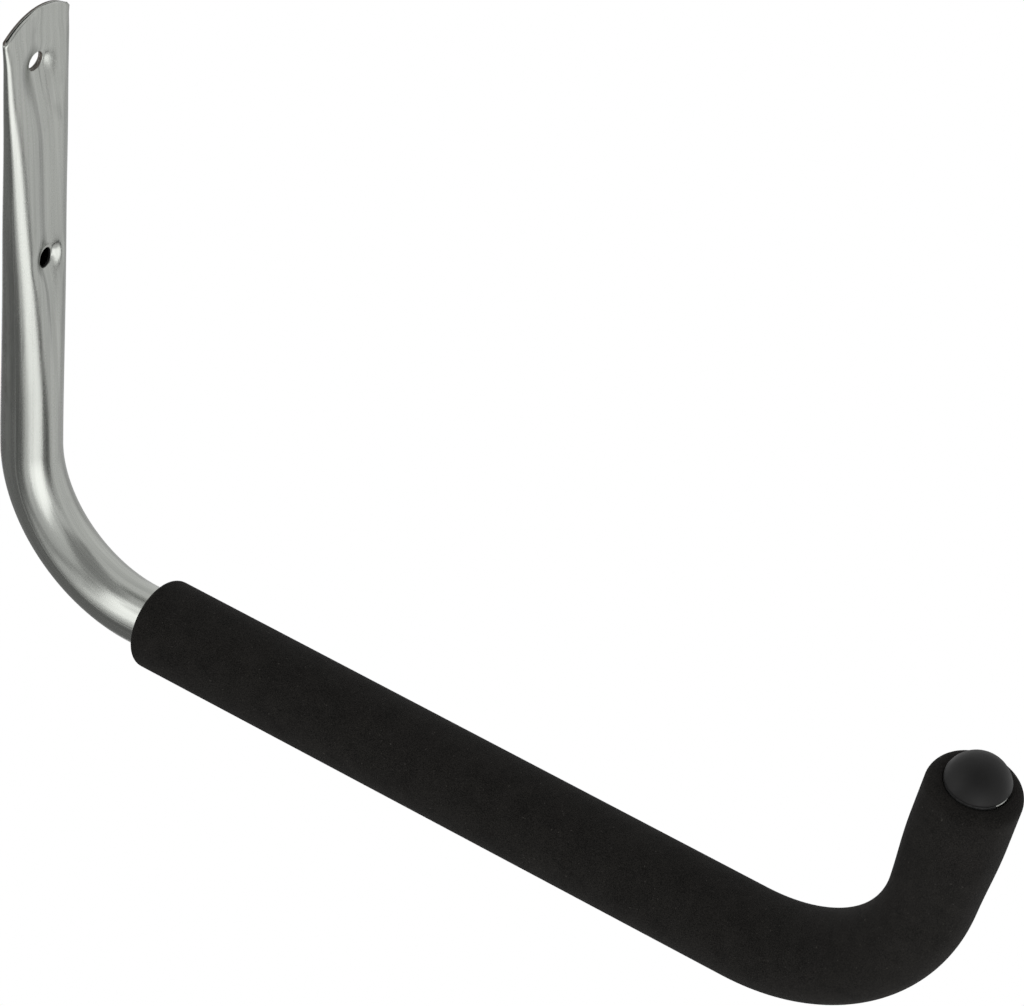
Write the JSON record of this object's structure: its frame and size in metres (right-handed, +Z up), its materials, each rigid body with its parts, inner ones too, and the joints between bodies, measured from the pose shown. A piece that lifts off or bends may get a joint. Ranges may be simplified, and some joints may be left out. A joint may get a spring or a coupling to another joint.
{
  "type": "garage utility hook",
  "caption": "Bent steel tube wall hook with a flattened two-hole screw blade, a black foam sleeve over the cradle and a domed end plug.",
  "frame": {"origin": "middle of the two screw holes, on the blade's flat rear face", "axes": "+Z up the wall, -Y straight out of the wall along the arm, X across the hook"},
  "size_m": [0.029, 0.3586, 0.2125],
  "materials": {
    "steel": "satin zinc plate with fine draw lines",
    "foam": "matte closed-cell foam",
    "plug": "matte moulded plastic"
  },
  "bodies": {
    "root": {"steel_tube": "steel", "foam_sleeve": "foam", "end_plug": "plug"}
  },
  "joints": []
}
